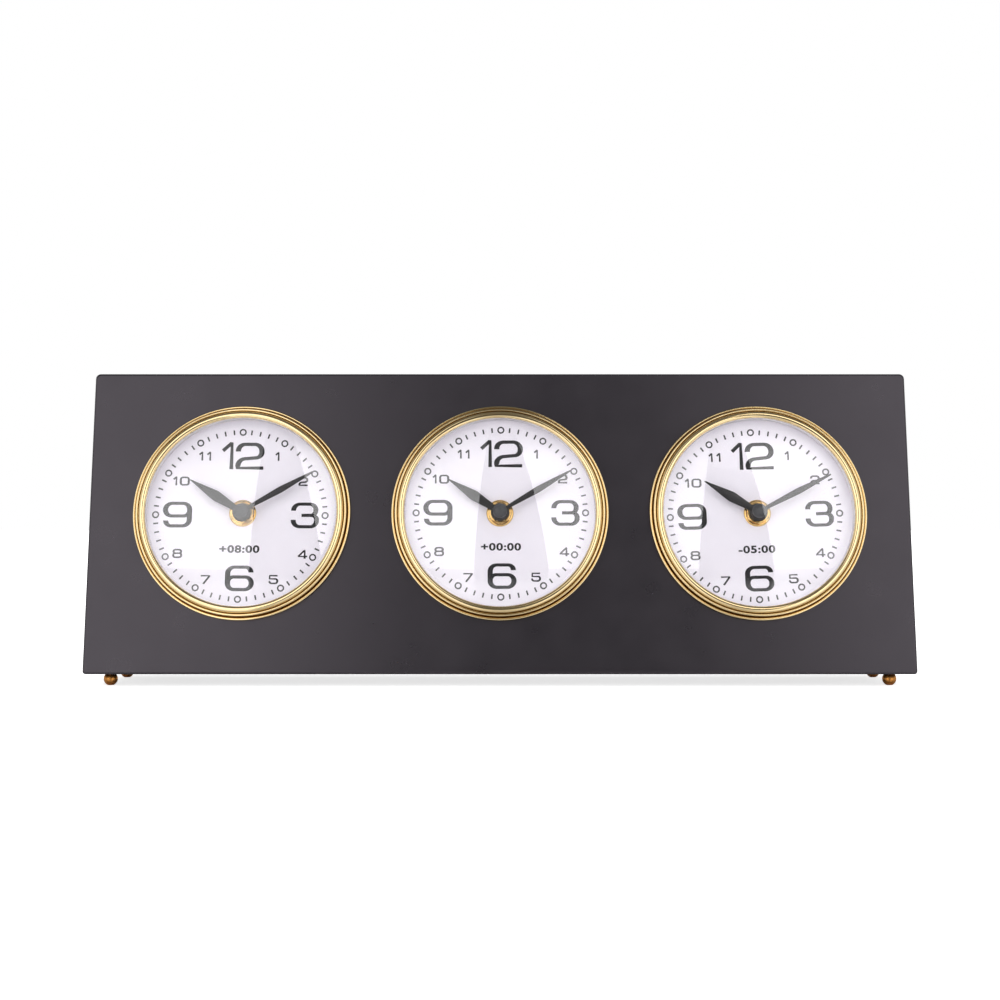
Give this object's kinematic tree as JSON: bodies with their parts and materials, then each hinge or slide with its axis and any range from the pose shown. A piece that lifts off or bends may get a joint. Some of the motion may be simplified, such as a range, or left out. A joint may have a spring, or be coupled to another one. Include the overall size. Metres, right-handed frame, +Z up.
{
  "type": "world time clock",
  "caption": "Row of round quartz clocks with beaded brass bezels and domed lenses in a low leaning black case on ball feet, each set from a knob behind its access hole.",
  "frame": {"origin": "on the floor under the middle of the case's overall box", "axes": "+X along the case to the viewer's right, +Y towards the flat back, +Z up"},
  "size_m": [0.4, 0.06, 0.1521],
  "materials": {
    "black_lacquered_wood": "satin lacquer",
    "black_hardboard": "matte",
    "raw_pine": "sawn",
    "zinc_plated_steel": "bright zinc",
    "polished_brass": "polished and lacquered",
    "black_rubber": "matte",
    "white_rubber": "matte",
    "spring_steel": "bright",
    "circuit_laminate": "matte",
    "soft_iron": "stamped",
    "enamelled_copper": "enamelled wire",
    "white_enamelled_steel": "satin enamel",
    "clear_glass": "polished",
    "printed_dial_card": "matte, printed in black",
    "black_movement_plastic": "moulded",
    "battery_sleeve": "plain sleeve",
    "black_lacquered_hand": "satin",
    "white_acetal": "moulded",
    "turned_steel": "turned"
  },
  "bodies": {
    "case": {"front_panel": "black_lacquered_wood", "top_panel": "black_lacquered_wood", "base_panel": "black_lacquered_wood", "left_end_panel": "black_lacquered_wood", "right_end_panel": "black_lacquered_wood", "back_panel": "black_hardboard", "screw_blocks": "raw_pine", "back_screws": "zinc_plated_steel", "ball_feet": "polished_brass", "fit_bands": "black_rubber", "lens_gaskets": "white_rubber", "dial_washers": "polished_brass", "dial_nuts": "polished_brass", "cushion_washers": "black_rubber", "battery_contacts": "spring_steel", "circuit_boards": "circuit_laminate", "motor_stators": "soft_iron", "motor_coils": "enamelled_copper", "left_dial_pan": "white_enamelled_steel", "left_bezel": "polished_brass", "left_lens": "clear_glass", "left_dial": "printed_dial_card", "left_movement_housing": "black_movement_plastic", "left_movement_cover": "black_movement_plastic", "left_battery": "battery_sleeve", "centre_dial_pan": "white_enamelled_steel", "centre_bezel": "polished_brass", "centre_lens": "clear_glass", "centre_dial": "printed_dial_card", "centre_movement_housing": "black_movement_plastic", "centre_movement_cover": "black_movement_plastic", "centre_battery": "battery_sleeve", "right_dial_pan": "white_enamelled_steel", "right_bezel": "polished_brass", "right_lens": "clear_glass", "right_dial": "printed_dial_card", "right_movement_housing": "black_movement_plastic", "right_movement_cover": "black_movement_plastic", "right_battery": "battery_sleeve"},
    "left_minute": {"left_minute_arbor": "turned_steel", "left_minute_hand": "black_lacquered_hand", "left_hand_nut": "black_lacquered_hand"},
    "left_hour": {"left_hour_wheel": "white_acetal", "left_hour_hand": "black_lacquered_hand"},
    "left_setting": {"left_motion_wheel": "white_acetal", "left_set_knob": "black_movement_plastic"},
    "centre_minute": {"centre_minute_arbor": "turned_steel", "centre_minute_hand": "black_lacquered_hand", "centre_hand_nut": "black_lacquered_hand"},
    "centre_hour": {"centre_hour_wheel": "white_acetal", "centre_hour_hand": "black_lacquered_hand"},
    "centre_setting": {"centre_motion_wheel": "white_acetal", "centre_set_knob": "black_movement_plastic"},
    "right_minute": {"right_minute_arbor": "turned_steel", "right_minute_hand": "black_lacquered_hand", "right_hand_nut": "black_lacquered_hand"},
    "right_hour": {"right_hour_wheel": "white_acetal", "right_hour_hand": "black_lacquered_hand"},
    "right_setting": {"right_motion_wheel": "white_acetal", "right_set_knob": "black_movement_plastic"}
  },
  "joints": [
    {"name": "left_minute_turn", "type": "hinge", "parent": "case", "child": "left_minute", "pos_m": [-0.1256, -0.0159, 0.08368], "axis": [0, 0.9833, -0.1822], "continuous": true},
    {"name": "left_hour_turn", "type": "hinge", "parent": "case", "child": "left_hour", "pos_m": [-0.1256, -0.0159, 0.08368], "axis": [0, 0.9833, -0.1822], "continuous": true},
    {"name": "left_setting_turn", "type": "hinge", "parent": "case", "child": "left_setting", "pos_m": [-0.12554, -0.0139, 0.0945], "axis": [0, 0.9833, -0.1822], "continuous": true},
    {"name": "centre_minute_turn", "type": "hinge", "parent": "case", "child": "centre_minute", "pos_m": [0, -0.0159, 0.08368], "axis": [0, 0.9833, -0.1822], "continuous": true},
    {"name": "centre_hour_turn", "type": "hinge", "parent": "case", "child": "centre_hour", "pos_m": [0, -0.0159, 0.08368], "axis": [0, 0.9833, -0.1822], "continuous": true},
    {"name": "centre_setting_turn", "type": "hinge", "parent": "case", "child": "centre_setting", "pos_m": [0, -0.0139, 0.0945], "axis": [0, 0.9833, -0.1822], "continuous": true},
    {"name": "right_minute_turn", "type": "hinge", "parent": "case", "child": "right_minute", "pos_m": [0.1256, -0.0159, 0.08368], "axis": [0, 0.9833, -0.1822], "continuous": true},
    {"name": "right_hour_turn", "type": "hinge", "parent": "case", "child": "right_hour", "pos_m": [0.1256, -0.0159, 0.08368], "axis": [0, 0.9833, -0.1822], "continuous": true},
    {"name": "right_setting_turn", "type": "hinge", "parent": "case", "child": "right_setting", "pos_m": [0.12531, -0.0139, 0.09449], "axis": [0, 0.9833, -0.1822], "continuous": true}
  ],
  "couplings": [
    {"joint": "left_hour_turn", "follows": "left_minute_turn", "ratio": 0.083333},
    {"joint": "left_setting_turn", "follows": "left_minute_turn", "ratio": -0.33333},
    {"joint": "centre_hour_turn", "follows": "centre_minute_turn", "ratio": 0.083333},
    {"joint": "centre_setting_turn", "follows": "centre_minute_turn", "ratio": -0.33333},
    {"joint": "right_hour_turn", "follows": "right_minute_turn", "ratio": 0.083333},
    {"joint": "right_setting_turn", "follows": "right_minute_turn", "ratio": -0.33333}
  ]
}
